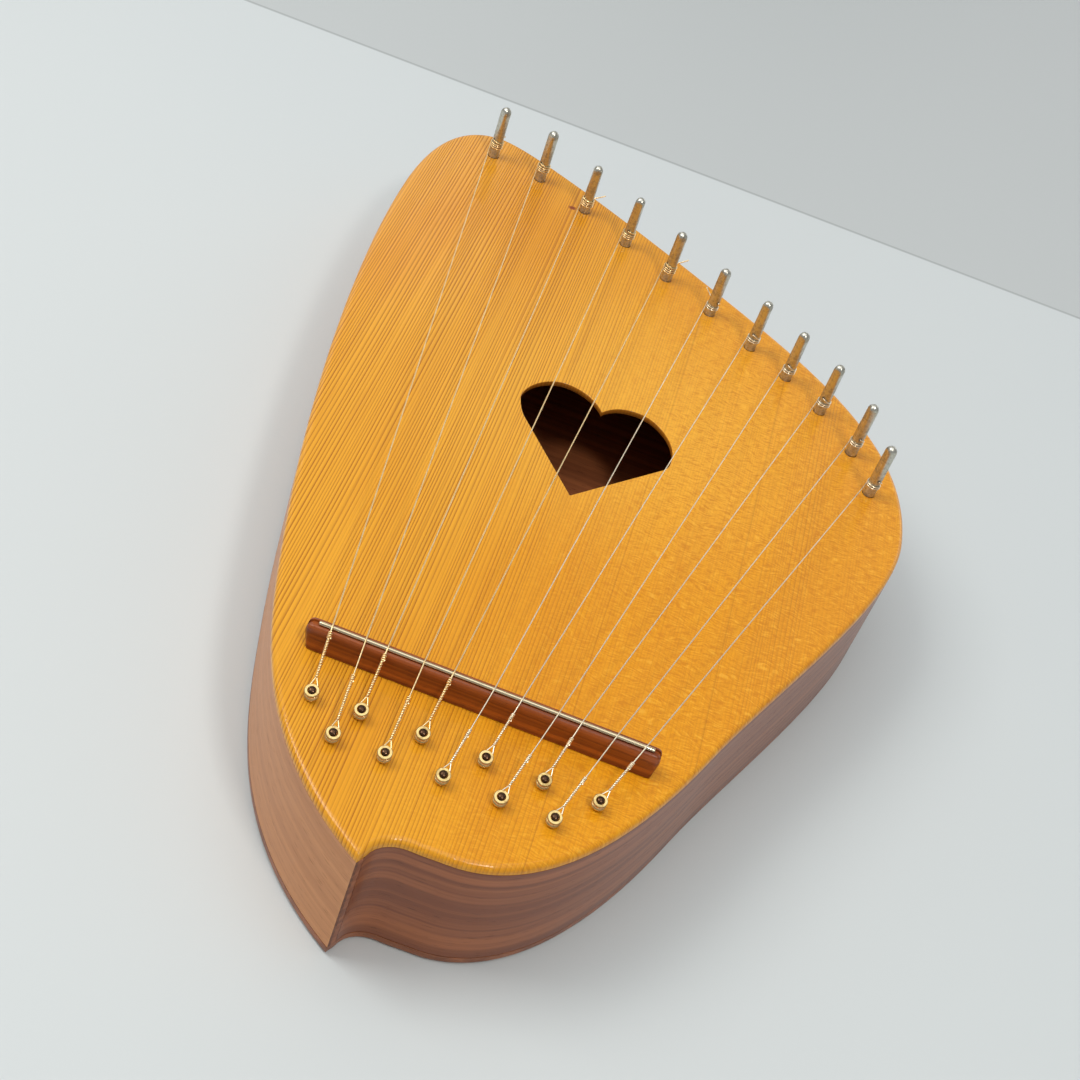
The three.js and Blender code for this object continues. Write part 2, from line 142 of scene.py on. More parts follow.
# Each stretch of the outline: start, two handles, end, in millimetres
LEFT_SIDE = [
    ((-26.5, -217), (-71, -187.5), (-82, -144.5), (-93, -99)),
    ((-93, -99), (-110.5, -27), (-125.5, 72.5), (-125.5, 147.5)),
    ((-125.5, 147.5), (-125.5, 173.5), (-122.5, 217), (-95.5, 217)),
]
RIGHT_SIDE = [
    ((-95.5, 217), (-73.5, 217), (21, 158), (54, 135.5)),
    ((54, 135.5), (97, 106), (125.5, 74), (125.5, 23.5)),
    ((125.5, 23.5), (125.5, -14.5), (86, -84), (69.5, -125.5)),
    ((69.5, -125.5), (56.5, -158), (33.5, -206), (-1.5, -206)),
    ((-1.5, -206), (-5, -206), (-9, -206.3), (-12.5, -206.1)),
    ((-12.5, -206.1), (-18.5, -205.7), (-23.3, -208.7), (-24.8, -213.9)),
]
# Distance between the points of the outline, in millimetres
OUTLINE_STEP = 2.0

HEART_POINT = (-5.5, -24.5)
HEART_CLEFT = (-5, 33)
# Each half of the heart: its side, the end of its straight flank, its widest point, its top
HEART_LOBES = [
    (1, (25.5, 11.5), (27.5, 20), (9.5, 41.5)),
    (-1, (-33, 12), (-37.5, 24.5), (-22, 43)),
]
LOBE_ROUNDNESS = 0.48
FLANK_HANDLE = 3
CLEFT_HANDLE = (3.5, 5.5)


# -------------------- shapes


def bezier(stretch, steps):
    """Points along one cubic stretch, in metres, without its last point."""
    start, first, second, end = [Vector(p) * MM for p in stretch]
    points = []
    for step in range(steps):
        t = step / steps
        s = 1 - t
        near = start * s ** 3 + first * 3 * s * s * t
        points.append(near + second * 3 * s * t * t + end * t ** 3)
    return points


def run_of(stretches):
    """A run of stretches as points about OUTLINE_STEP apart, with its last point."""
    points = []
    for stretch in stretches:
        chord = (Vector(stretch[3]) - Vector(stretch[0])).length
        points += bezier(stretch, max(3, round(chord / OUTLINE_STEP)))
    points.append(Vector(stretches[-1][3]) * MM)
    return points


def inward(points, index, closed=True):
    """The direction into the box at one point of a clockwise run."""
    count = len(points)
    if closed:
        travel = points[(index + 1) % count] - points[index - 1]
    else:
        travel = points[min(index + 1, count - 1)] - points[max(index - 1, 0)]
    return Vector((travel.y, -travel.x)).normalized()


def inset_outline(points, distance):
    """The closed outline moved inward, folded neatly into the nose, the sharp corner it starts at."""
    if distance == 0:
        return [p.copy() for p in points]
    nose = points[0]
    leaving = (points[1] - nose).normalized()
    arriving = (nose - points[-1]).normalized()
    half_angle = leaving.angle(-arriving) / 2
    corner = nose + (leaving - arriving).normalized() * distance / math.sin(half_angle)
    reach = distance / math.tan(half_angle)
    moved = []
    for index, point in enumerate(points):
        if (point - nose).length < reach * 1.02:
            moved.append(corner.copy())
        else:
            moved.append(point + inward(points, index) * distance)
    return moved


def half_heart(side, shoulder, widest, top):
    """One half of the heart from its shoulder to just before the cleft."""
    flank = (Vector(shoulder) - Vector(HEART_POINT)).normalized() * FLANK_HANDLE
    rise = (top[1] - widest[1]) * LOBE_ROUNDNESS
    outward_reach = (widest[0] - top[0]) * LOBE_ROUNDNESS
    inward_reach = (HEART_CLEFT[0] - top[0]) * LOBE_ROUNDNESS
    leaving = (shoulder[0] + flank.x, shoulder[1] + flank.y)
    turn = (shoulder, leaving, (widest[0], widest[1] - FLANK_HANDLE), widest)
    outer = (widest, (widest[0], widest[1] + rise), (top[0] + outward_reach, top[1]), top)
    into_cleft = (HEART_CLEFT[0] + side * CLEFT_HANDLE[0], HEART_CLEFT[1] + CLEFT_HANDLE[1])
    inner = (top, (top[0] + inward_reach, top[1]), into_cleft, HEART_CLEFT)
    return bezier(turn, 8) + bezier(outer, 14) + bezier(inner, 14)


def heart_points(grow=0.0):
    """The heart as a closed loop, counter-clockwise, pushed outward by grow."""
    loop = [Vector(HEART_POINT) * MM] + half_heart(*HEART_LOBES[0])
    loop += [Vector(HEART_CLEFT) * MM] + half_heart(*HEART_LOBES[1])[::-1]
    return [point + inward(loop, index) * grow for index, point in enumerate(loop)]


def circle(centre, radius, count):
    """A closed loop of count points."""
    turns = [2 * math.pi * i / count for i in range(count)]
    return [centre + Vector((math.cos(a), math.sin(a))) * radius for a in turns]


def make(name, mesh, *materials):
    """An object in the scene with its materials, in order."""
    piece = bpy.data.objects.new(name, mesh)
    bpy.context.scene.collection.objects.link(piece)
    for material in materials:
        mesh.materials.append(material)
    return piece


def smooth(mesh, degrees):
    """Smooth shading, with edges sharper than the angle left crisp."""
    mesh.polygons.foreach_set("use_smooth", [True] * len(mesh.polygons))
    mesh.set_sharp_from_angle(angle=math.radians(degrees))


def mesh_of(name, vertices, faces, degrees):
    mesh = bpy.data.meshes.new(name)
    mesh.from_pydata([tuple(v) for v in vertices], [], faces)
    mesh.validate()
    smooth(mesh, degrees)
    return mesh


def lift(points, z):
    """Flat points at a height."""
    return [Vector((p.x, p.y, z)) for p in points]


def join_rings(vertices, faces, rings, flip=False):
    """Adds closed rings of equal length to a mesh, joins neighbours, and returns their starts."""
    starts = []
    for ring in rings:
        starts.append(len(vertices))
        vertices += ring
    count = len(rings[0])
    for low, high in zip(starts[:-1], starts[1:]):
        for index in range(count):
            after = (index + 1) % count
            face = (low + index, low + after, high + after, high + index)
            faces.append(face[::-1] if flip else face)
    return starts


def fill(vertices, faces, loops, flip=False):
    """Fills a flat face with holes. Each loop is (start, count) in the vertex list."""
    order = [start + i for start, count in loops for i in range(count)]
    polygons = [[vertices[start + i] for i in range(count)] for start, count in loops]
    for a, b, c in tessellate_polygon(polygons):
        face = (order[a], order[b], order[c])
        faces.append(face[::-1] if flip else face)


def solid_of(name, vertices, faces, degrees):
    """A closed mesh with shared corners, its faces turned outward and smoothed up to an angle."""
    mesh = mesh_of(name, vertices, faces, degrees)
    bm = bmesh.new()
    bm.from_mesh(mesh)
    bmesh.ops.remove_doubles(bm, verts=bm.verts, dist=1e-7)
    bmesh.ops.recalc_face_normals(bm, faces=bm.faces)
    bm.to_mesh(mesh)
    bm.free()
    smooth(mesh, degrees)
    return mesh


def tube(points, radius, sides):
    """Vertices and faces of a round tube along points, with the least twist. radius may be a list."""
    count = len(points)
    radii = radius if isinstance(radius, list) else [radius] * count
    vertices = []
    faces = []
    side = None
    for index, point in enumerate(points):
        travel = (points[min(index + 1, count - 1)] - points[max(index - 1, 0)]).normalized()
        if side is None:
            side = travel.orthogonal().normalized()
        else:
            side = (side - travel * side.dot(travel)).normalized()
        other = travel.cross(side)
        for step in range(sides):
            angle = 2 * math.pi * step / sides
            spoke = side * math.cos(angle) + other * math.sin(angle)
            vertices.append(point + spoke * radii[index])
    for ring in range(count - 1):
        low = ring * sides
        high = low + sides
        for step in range(sides):
            after = (step + 1) % sides
            faces.append((low + step, low + after, high + after, high + step))
    faces.append(tuple(reversed(range(sides))))
    faces.append(tuple(range((count - 1) * sides, count * sides)))
    return vertices, faces


def joined(parts):
    """Several (vertices, faces) as one."""
    vertices = []
    faces = []
    for part_vertices, part_faces in parts:
        offset = len(vertices)
        vertices += part_vertices
        faces += [tuple(i + offset for i in face) for face in part_faces]
    return vertices, faces


def lathe(profile, sides):
    """A solid of revolution about Z from (radius, z) pairs, upward. A radius of 0 is a pole."""
    vertices = []
    faces = []
    rows = []
    for radius, z in profile:
        if radius == 0:
            rows.append([len(vertices)] * sides)
            vertices.append(Vector((0, 0, z)))
        else:
            rows.append(list(range(len(vertices), len(vertices) + sides)))
            for step in range(sides):
                angle = 2 * math.pi * step / sides
                vertices.append(Vector((radius * math.cos(angle), radius * math.sin(angle), z)))
    for low, high in zip(rows[:-1], rows[1:]):
        for step in range(sides):
            after = (step + 1) % sides
            corners = [low[step], low[after], high[after], high[step]]
            face = tuple(dict.fromkeys(corners))
            if len(face) > 2:
                faces.append(face)
    return vertices, faces


# -------------------- materials


def set_inputs(tree, node, inputs):
    """Links each input to another node's output, or sets it to a value."""
    for key, value in inputs.items():
        if isinstance(value, bpy.types.NodeSocket):
            tree.links.new(value, node.inputs[key])
        else:
            node.inputs[key].default_value = value


def put(tree, kind, inputs=None, **settings):
    """A node with its settings and its inputs."""
    made = tree.nodes.new(kind)
    for key, value in settings.items():
        setattr(made, key, value)
    set_inputs(tree, made, inputs or {})
    return made


def math_node(tree, operation, *values, clamp=False):
    inputs = dict(enumerate(values))
    return put(tree, "ShaderNodeMath", inputs, operation=operation, use_clamp=clamp).outputs[0]


def times(tree, value, factor):
    return math_node(tree, "MULTIPLY", value, factor)


def times_plus(tree, value, factor, offset):
    return math_node(tree, "MULTIPLY_ADD", value, factor, offset)


def away_from(tree, value, centre):
    """How far a value is from a centre, either way."""
    return math_node(tree, "ABSOLUTE", math_node(tree, "SUBTRACT", value, centre))


def distance_to(tree, here, point):
    """How far a spot is from a fixed point."""
    made = put(tree, "ShaderNodeVectorMath", {0: here, 1: point}, operation="DISTANCE")
    return made.outputs["Value"]


def mix(tree, factor, first, second):
    """The first colour at factor 0, the second at 1."""
    made = put(tree, "ShaderNodeMix", data_type="RGBA")
    set_inputs(tree, made, {0: factor, 6: first, 7: second})
    return made.outputs[2]


def ramp(tree, value, low, high):
    """0 below low, 1 above high, smooth between."""
    made = put(tree, "ShaderNodeMapRange", {0: value, 1: low, 2: high, 3: 0.0, 4: 1.0},
               interpolation_type="SMOOTHSTEP")
    return made.outputs[0]


def noise(tree, where, scale, detail=3.0, roughness=0.55, distortion=0.0):
    inputs = {"Vector": where, "Scale": scale, "Detail": detail}
    inputs.update({"Roughness": roughness, "Distortion": distortion})
    return put(tree, "ShaderNodeTexNoise", inputs).outputs[0]


def stretched(tree, source, scale, turn=(0, 0, 0)):
    made = put(tree, "ShaderNodeMapping", {"Vector": source, "Scale": scale, "Rotation": turn})
    return made.outputs[0]


def place(tree, output="Object"):
    """Coordinates on the piece itself, so that the pattern moves with it."""
    return put(tree, "ShaderNodeTexCoord").outputs[output]


def colour(red, green, blue):
    """An sRGB colour, 0 to 255, as the linear one nodes use."""

    def linear(v):
        v = v / 255
        return v / 12.92 if v <= 0.04045 else ((v + 0.055) / 1.055) ** 2.4

    return (linear(red), linear(green), linear(blue), 1.0)


def start_material(name):
    """A material with one principled shader, its node tree and the shader."""
    material = bpy.data.materials.new(name)
    material.use_nodes = True
    tree = material.node_tree
    tree.nodes.clear()
    output = tree.nodes.new("ShaderNodeOutputMaterial")
    shader = tree.nodes.new("ShaderNodeBsdfPrincipled")
    tree.links.new(shader.outputs[0], output.inputs[0])
    return material, tree, shader


def bumped(tree, shader, height, strength, distance):
    """Relief from a height, given to the shader and returned."""
    inputs = {"Height": height, "Strength": strength, "Distance": distance}
    made = put(tree, "ShaderNodeBump", inputs)
    tree.links.new(made.outputs[0], shader.inputs["Normal"])
    return made.outputs[0]


def late_wood(tree, here, x, leftward):
    """Dark lines of late wood, strongest at the left, and the wandering x that they follow."""
    lines_per_metre = 780.0
    fine_band_x = 0.083
    wander = noise(tree, stretched(tree, here, (30, 2.6, 1)), 1.0, 2.0)
    spread = noise(tree, stretched(tree, here, (22, 0.3, 0)), 1.0, 2.0)
    crowding = noise(tree, stretched(tree, here, (140, 0.5, 0)), 1.0, 1.0)
    shifted = times_plus(tree, wander, 0.0024, x)
    shifted = times_plus(tree, spread, 0.012, shifted)
    crowded = times_plus(tree, crowding, 0.0032, shifted)
    year = math_node(tree, "FRACT", times(tree, crowded, lines_per_metre))
    late = math_node(tree, "POWER", year, 4.0)
    patchy = noise(tree, stretched(tree, here, (210, 2.0, 1)), 1.0, 2.0)
    fine_band = ramp(tree, away_from(tree, x, fine_band_x), 0.014, 0.005)
    least = times_plus(tree, fine_band, 0.35, 0.25)
    strength = times_plus(tree, leftward, 1.2, least)
    strength = times(tree, strength, ramp(tree, patchy, 0.05, 0.7))
    return math_node(tree, "MULTIPLY", late, strength, clamp=True), shifted


def silky_flecks(tree, here):
    """Short wavy flecks across the grain, on a gentle ripple."""
    ripple = noise(tree, stretched(tree, here, (60, 130, 1)), 1.0, 2.0)
    rise = put(tree, "ShaderNodeCombineXYZ", {1: times(tree, ripple, 0.009)})
    rippled = put(tree, "ShaderNodeVectorMath", {0: here, 1: rise.outputs[0]}, operation="ADD")
    across = stretched(tree, rippled.outputs[0], (270, 1400, 1), (0, 0, 0.10))
    return noise(tree, across, 1.0, 2.0, 0.6)


def spruce(name="varnished_spruce", shade=0.0):
    """Varnished fine-grained softwood: grain along Y, clear at the left, silky flecks at the right,
    and a painted sheen that lightens the middle.
    """
    # Centre of a painted sheen that lightens the middle of the board
    painted_sheen_centre = (-0.010, 0.040, BOARD_TOP)
    knot_at = (-0.0512, 0.1780, BOARD_TOP)
    # Darker single lines: x, half width and strength
    seams = ((0.0731, 0.0005, 0.3), (-0.0435, 0.0004, 0.4), (0.0275, 0.0004, 0.25))
    material, tree, shader = start_material(name)
    here = place(tree)
    x = put(tree, "ShaderNodeSeparateXYZ", {0: here}).outputs[0]
    leftward = ramp(tree, x, 0.045, -0.052)
    rightward = ramp(tree, x, -0.05, 0.05)
    lines, shifted = late_wood(tree, here, x, leftward)
    early = mix(tree, leftward, colour(234, 158, 14), colour(234, 165, 40))
    tone = noise(tree, stretched(tree, here, (16, 5, 1)), 1.0, 3.0)
    base = mix(tree, ramp(tree, tone, 0.35, 0.7), early, colour(226, 150, 24))
    # Painted sheen: the colour turns lighter towards the middle of the board
    from_middle = distance_to(tree, here, painted_sheen_centre)
    painted_sheen = times(tree, ramp(tree, from_middle, 0.125, 0.02), 0.5)
    base = mix(tree, painted_sheen, base, colour(246, 186, 66))
    base = mix(tree, lines, base, colour(158, 86, 14))
    strands = noise(tree, stretched(tree, here, (2100, 20, 200)), 1.0, 2.0)
    strand_mask = times(tree, ramp(tree, strands, 0.5, 0.75), 0.26)
    base = mix(tree, strand_mask, base, colour(186, 110, 18))
    fleck = silky_flecks(tree, here)
    dark_fleck = times(tree, ramp(tree, fleck, 0.46, 0.66), rightward)
    base = mix(tree, times(tree, dark_fleck, 0.6), base, colour(200, 118, 6))
    light_fleck = times(tree, ramp(tree, fleck, 0.46, 0.30), rightward)
    base = mix(tree, times(tree, light_fleck, 0.45), base, colour(250, 188, 62))
    for line_x, width, depth in seams:
        on_line = ramp(tree, away_from(tree, shifted, line_x), width, 0.0)
        base = mix(tree, times(tree, on_line, depth), base, colour(150, 84, 20))
    knot = distance_to(tree, here, knot_at)
    knot = times_plus(tree, noise(tree, here, 600.0), 0.0012, knot)
    base = mix(tree, ramp(tree, knot, 0.0030, 0.0014), base, colour(138, 62, 16))
    base = mix(tree, shade, base, colour(150, 56, 18))
    rough = times_plus(tree, dark_fleck, 0.08, 0.36)
    relief = math_node(tree, "SUBTRACT", times(tree, fleck, 0.3), lines)
    relief = times_plus(tree, strands, 0.5, relief)
    set_inputs(tree, shader, {
        "Base Color": base,
        "Roughness": rough,
        "Specular IOR Level": 0.2,
        "Coat Weight": 0.45,
        "Coat Roughness": 0.09,
        "Coat IOR": 1.5,
        "Coat Normal": bumped(tree, shader, relief, 0.4, 0.00014),
    })
    return material


def grained_wood(name, tints, along, scale=1.0, coat=0.35, roughness=0.42, banding=1.0):
    """Hardwood in a light, a dark and a pore tint: long soft bands, fine fibres and short pores.

    The grain runs along X of the coordinates named by along, "UV" or "Object".
    """
    light, dark, pore = [colour(*tint) for tint in tints]
    material, tree, shader = start_material(name)
    here = place(tree, along)

    def streaks(length, width, *settings):
        fine = (length * scale, width * scale, width * scale)
        return noise(tree, stretched(tree, here, fine), 1.0, *settings)

    bands = streaks(2.4, 260, 3.0, 0.55, 0.15)
    broad = streaks(5, 30, 3.0)
    fibres = streaks(60, 1900, 2.0)
    pores = streaks(140, 2600, 1.0)
    band_mask = times(tree, ramp(tree, bands, 0.66, 0.36), banding)
    base = mix(tree, band_mask, light, dark)
    base = mix(tree, times(tree, ramp(tree, broad, 0.4, 0.7), 0.35), base, dark)
    base = mix(tree, times(tree, ramp(tree, fibres, 0.45, 0.75), 0.25), base, dark)
    pore_mask = ramp(tree, pores, 0.64, 0.74)
    base = mix(tree, times(tree, pore_mask, 0.55), base, pore)
    height = math_node(tree, "SUBTRACT", times(tree, fibres, 0.3), pore_mask)
    bumped(tree, shader, height, 0.25, 0.0001)
    set_inputs(tree, shader, {
        "Base Color": base,
        "Roughness": times_plus(tree, pore_mask, 0.2, roughness),
        "Specular IOR Level": 0.25,
        "Coat Weight": coat,
        "Coat Roughness": 0.25,
    })
    return material


def metal(name, bright, dull, roughness, wear, scale, lines=None):
    """Drawn or turned metal with a mottled tarnish. lines stretches its relief along a drawn rod."""
    material, tree, shader = start_material(name)
    here = place(tree)
    mottle = noise(tree, here, scale, 4.0, 0.6)
    coarse = noise(tree, here, scale * 0.22, 3.0)
    blotches = math_node(tree, "ADD", mottle, coarse)
    tarnish = times(tree, ramp(tree, blotches, 0.85, 1.25), wear)
    height = mottle
    if lines:
        height = noise(tree, stretched(tree, here, lines), 1.0, 2.0)
    bumped(tree, shader, height, 0.12, 0.00006)
    set_inputs(tree, shader, {
        "Base Color": mix(tree, tarnish, colour(*bright), colour(*dull)),
        "Roughness": times_plus(tree, tarnish, 0.35, roughness),
        "Metallic": 1.0,
    })
    return material


# Both sides are one mahogany in two copies: a lighter painted-lit copy for the left side and a darker
# painted-shade copy for the right side
SIDE_TINTS_PAINTED_LIT = ((212, 148, 98), (176, 114, 72), (120, 70, 44))
SIDE_TINTS_PAINTED_SHADE = ((170, 100, 58), (124, 66, 38), (64, 32, 22))
BACK_TINTS = ((168, 100, 60), (132, 76, 46), (72, 38, 26))
END_TINTS = ((140, 88, 60), (104, 60, 42), (60, 30, 20))
BLOCK_TINTS = ((196, 150, 100), (160, 112, 70), (110, 72, 44))
BRIDGE_TINTS = ((166, 84, 26), (112, 48, 14), (50, 18, 8))

SPRUCE = spruce()
SPRUCE_RIM = spruce("varnished_spruce_rim", 0.6)
# Painted light and shade: the left side takes the lighter lit copy, the right side the darker shaded
# copy
MAHOGANY_PAINTED_LIT = grained_wood("mahogany_painted_lit", SIDE_TINTS_PAINTED_LIT, "UV", 1.0, 0.12, 0.45, 0.4)
MAHOGANY_PAINTED_SHADE = grained_wood("mahogany_painted_shade", SIDE_TINTS_PAINTED_SHADE, "UV", 1.0, 0.4, 0.38, 0.9)
BACK_WOOD = grained_wood("mahogany_back", BACK_TINTS, "Object")
END_GRAIN = grained_wood("mahogany_end", END_TINTS, "Object", 2.5, 0.1)
BLOCK_WOOD = grained_wood("block_wood", BLOCK_TINTS, "Object", 1.0, 0.0, 0.7)
BRIDGE_WOOD = grained_wood("bridge_hardwood", BRIDGE_TINTS, "Object", 1.6, 0.4, 0.36)
NICKEL = metal("aged_nickel", (206, 203, 190), (116, 108, 88), 0.3, 0.5, 1100.0)
ROD_METAL = metal("rod_metal", (226, 208, 172), (156, 134, 98), 0.16, 0.3, 700.0, (60, 2400, 2400))
BRONZE = metal("bronze_wire", (255, 226, 170), (214, 168, 100), 0.3, 0.2, 1500.0)
STEEL = metal("steel_wire", (255, 242, 214), (206, 192, 166), 0.28, 0.2, 1500.0)
BRASS = metal("ball_brass", (228, 200, 136), (150, 114, 60), 0.2, 0.55, 1300.0)
NAIL_METAL = metal("nail_steel", (92, 68, 50), (36, 24, 18), 0.22, 0.5, 1500.0)


# -------------------- sound box


left = run_of(LEFT_SIDE)
right = run_of(RIGHT_SIDE)
outline = left + right[1:]

pin_places = []
ball_places = []
for number in NUMBERS:
    low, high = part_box(f"tuning_pin_{number:02d}")
    pin_places.append((low + high) / 2)
    low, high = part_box(f"ball_end_{number:02d}")
    ball_places.append((low + high) / 2)


def quarter_round(radius, steps):
    """(inset, drop) pairs of a rounded edge, from its side to its top."""
    pairs = []
    for step in range(steps + 1):
        angle = math.pi / 2 * step / steps
        pairs.append((radius * (1 - math.cos(angle)), radius * (1 - math.sin(angle))))
    return pairs


def bore(centre, radius, chamfer, chamfer_depth, margin, count, lean=0.0):
    """Rings of a hole through the soundboard: a margin on the flat, the chamfer, then the wall."""
    mouth = radius + chamfer
    through = BOARD_TOP - BOARD_BOTTOM
    profile = [(mouth + margin, 0), (mouth, 0), (radius, chamfer_depth), (radius, through)]
    rings = []
    for ring_radius, depth in profile:
        leaned = centre + Vector((0, depth * lean))
        rings.append(lift(circle(leaned, ring_radius, count), BOARD_TOP - depth))
    return rings


def heart_rings():
    """The heart's softened edge, its rim, and the relieved wood under the rim."""
    steps = [
        (0.7 * MM, BOARD_TOP),
        (0.25 * MM, BOARD_TOP),
        (0.07 * MM, BOARD_TOP - 0.07 * MM),
        (0.0, BOARD_TOP - 0.25 * MM),
        (0.0, BOARD_TOP - HEART_RIM_DEPTH),
        (0.9 * MM, BOARD_BOTTOM),
    ]
    return [lift(heart_points(grow), z) for grow, z in steps]


def soundboard():
    """The varnished top, rounded over, bored for pins and nails, with the heart cut out."""
    vertices = []
    faces = []
    rings = [lift(outline, BOARD_BOTTOM)]
    for inset, drop in quarter_round(BOARD_EDGE_RADIUS, 7):
        rings.append(lift(inset_outline(outline, inset), BOARD_TOP - drop))
    rings.append(lift(inset_outline(outline, BOARD_EDGE_RADIUS + EDGE_RING), BOARD_TOP))
    starts = join_rings(vertices, faces, rings, flip=True)
    holes = []
    for pin in pin_places:
        holes.append(bore(pin.xy, PIN_HOLE_IN_BOARD, 0.2 * MM, 0.3 * MM, 0.45 * MM, 28))
    lean = math.tan(NAIL_LEAN)
    for ball in ball_places:
        centre = Vector((ball.x, ball.y + BALL_HEIGHT_ABOVE_BOARD * lean))
        holes.append(bore(centre, NAIL_HOLE_IN_BOARD, 0.1 * MM, 0.2 * MM, 0.35 * MM, 20, lean))
    holes.append(heart_rings())
    top_loops = [(starts[-1], len(outline))]
    bottom_loops = [(starts[0], len(outline))]
    for rings in holes:
        hole_starts = join_rings(vertices, faces, rings)
        top_loops.append((hole_starts[0], len(rings[0])))
        bottom_loops.append((hole_starts[-1], len(rings[0])))
    fill(vertices, faces, top_loops)
    fill(vertices, faces, bottom_loops, flip=True)
    mesh = solid_of("soundboard_varnished", vertices, faces, 50)
    piece = make("soundboard_varnished", mesh, SPRUCE, SPRUCE_RIM)
    heart_middle = (Vector(HEART_POINT) + Vector(HEART_CLEFT)) / 2 * MM
    heart_reach = 50 * MM
    for polygon in mesh.polygons:
        near_heart = (polygon.center.xy - heart_middle).length < heart_reach
        if near_heart and abs(polygon.normal.z) < 0.6:
            polygon.material_index = 1
    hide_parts("soundboard")
    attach(piece, ROOT)


def back_plate():
    """The plate that closes the box underneath."""
    vertices = []
    faces = []
    rings = [lift(inset_outline(outline, BACK_EDGE_RADIUS + EDGE_RING), 0)]
    for inset, drop in reversed(quarter_round(BACK_EDGE_RADIUS, 5)):
        rings.append(lift(inset_outline(outline, inset), drop))
    rings.append(lift(outline, BACK_TOP))
    starts = join_rings(vertices, faces, rings, flip=True)
    count = len(outline)
    fill(vertices, faces, [(starts[0], count)], flip=True)
    fill(vertices, faces, [(starts[-1], count)])
    mesh = solid_of("back_panel", vertices, faces, 50)
    piece = make("back_panel", mesh, BACK_WOOD)
    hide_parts("back_plate")
    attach(piece, ROOT)


def rib(name, node, wood, run, first_travel, last_travel, end_trim):
    """A bent side strip with its edges just broken, and a map along its length for the grain."""
    bottom = BACK_TOP + RIB_GAP
    top = BOARD_BOTTOM - RIB_GAP
    low_edge = bottom + RIB_CORNER
    high_edge = top - RIB_CORNER
    count = len(run)
    inner = [inward(run, index, closed=False) for index in range(count)]
    inner[0] = Vector((first_travel.y, -first_travel.x))
    inner[-1] = Vector((last_travel.y, -last_travel.x))
    # (depth, z) round the section, up the outer face, over the top and back underneath
    section = [
        (0, low_edge), (0, (bottom + top) / 2), (0, high_edge), (RIB_CORNER, top), (NOSE_STRIP, top),
        (RIB_THICKNESS - RIB_CORNER, top), (RIB_THICKNESS, high_edge), (RIB_THICKNESS, low_edge),
        (RIB_THICKNESS - RIB_CORNER, bottom), (NOSE_STRIP, bottom), (RIB_CORNER, bottom),
    ]
    # The first end is filled in two strips, so that each face has its own number of corners
    outer_strip = (0, 1, 2, 3, 4, 9, 10)
    inner_strip = (4, 5, 6, 7, 8, 9)
    vertices = []
    faces = []
    rings = []
    for index, point in enumerate(run):
        ring = []
        for depth, z in section:
            trim = end_trim * depth / RIB_THICKNESS if index == count - 1 else 0.0
            flat = point + inner[index] * depth - last_travel * trim
            ring.append(Vector((flat.x, flat.y, z)))
        rings.append(ring)
    starts = join_rings(vertices, faces, rings)
    faces.append(outer_strip[::-1])
    faces.append(inner_strip[::-1])
    faces.append(tuple(range(starts[-1], len(vertices))))
    mesh = solid_of(name, vertices, faces, 40)
    map_grain(mesh, run, rings)
    # The inner strip at a rib's end takes the darker painted-shade copy of the side wood
    piece = make(name, mesh, wood, END_GRAIN, MAHOGANY_PAINTED_SHADE)
    for polygon in mesh.polygons:
        if len(polygon.vertices) == len(inner_strip):
            polygon.material_index = 2
        elif len(polygon.vertices) > len(inner_strip):
            polygon.material_index = 1
    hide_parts(node)
    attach(piece, ROOT)


def map_grain(mesh, run, rings):
    """Maps each corner to its length along the rib and its height."""

    def spot(vertex):
        return tuple(round(value, 6) for value in vertex)

    length = 0.0
    along = {spot(vertex): length for vertex in rings[0]}
    for before, after, ring in zip(run[:-1], run[1:], rings[1:]):
        length += (after - before).length
        along.update({spot(vertex): length for vertex in ring})
    layer = mesh.uv_layers.new(name="grain")
    for loop in mesh.loops:
        corner = mesh.vertices[loop.vertex_index].co
        layer.data[loop.index].uv = (along.get(spot(corner), 0.0), corner.z)


def travel_of(start, end):
    """The direction from one outline point to another."""
    return (Vector(end) - Vector(start)).normalized()


def hidden_blocks():
    """The hidden blocks keep their CAD shape and take raw wood."""
    for node in ("pin_block", "tail_block"):
        cad = frame["nodes"][node]
        cad.data.materials.clear()
        cad.data.materials.append(BLOCK_WOOD)


# -------------------- bridge


def bridge_section(half_foot, height, slot_floor):
    """(y, z) round the bar's section: up the front, over the rod's slot and down the back."""
    half_top = 2.3 * MM
    crown = 0.9 * MM
    crown_half = half_top + 0.25 * MM
    foot_edge = 0.3 * MM
    slot_half = ROD_RADIUS + 0.3 * MM
    front = [(-half_foot + foot_edge, 0), (-half_foot, foot_edge)]
    for share in (0.25, 0.5, 0.75):
        front.append((-half_foot + (half_foot - crown_half) * share, (height - crown) * share))
    front += [
        (-crown_half, height - crown),
        (-half_top, height - crown * 0.45),
        (-half_top + 0.3 * MM, height - crown * 0.12),
        (-half_top + 0.6 * MM, height),
        (-slot_half - 0.1 * MM, height),
        (-slot_half, height - 0.12 * MM),
        (-slot_half, slot_floor),
    ]
    return front + [(-y, z) for y, z in reversed(front)]


def bridge_stations(length):
    """(x, share of the full width) along the bar, close together at its rounded ends."""
    rounding = [(0.0, 0.55), (0.25 * MM, 0.80), (0.7 * MM, 0.93), (1.4 * MM, 0.985), (2.4 * MM, 1.0)]
    steps = 24
    round_length = rounding[-1][0]
    straight = length - 2 * round_length
    middle = [(round_length + straight * step / steps, 1.0) for step in range(1, steps)]
    return rounding + middle + [(length - x, share) for x, share in reversed(rounding)]


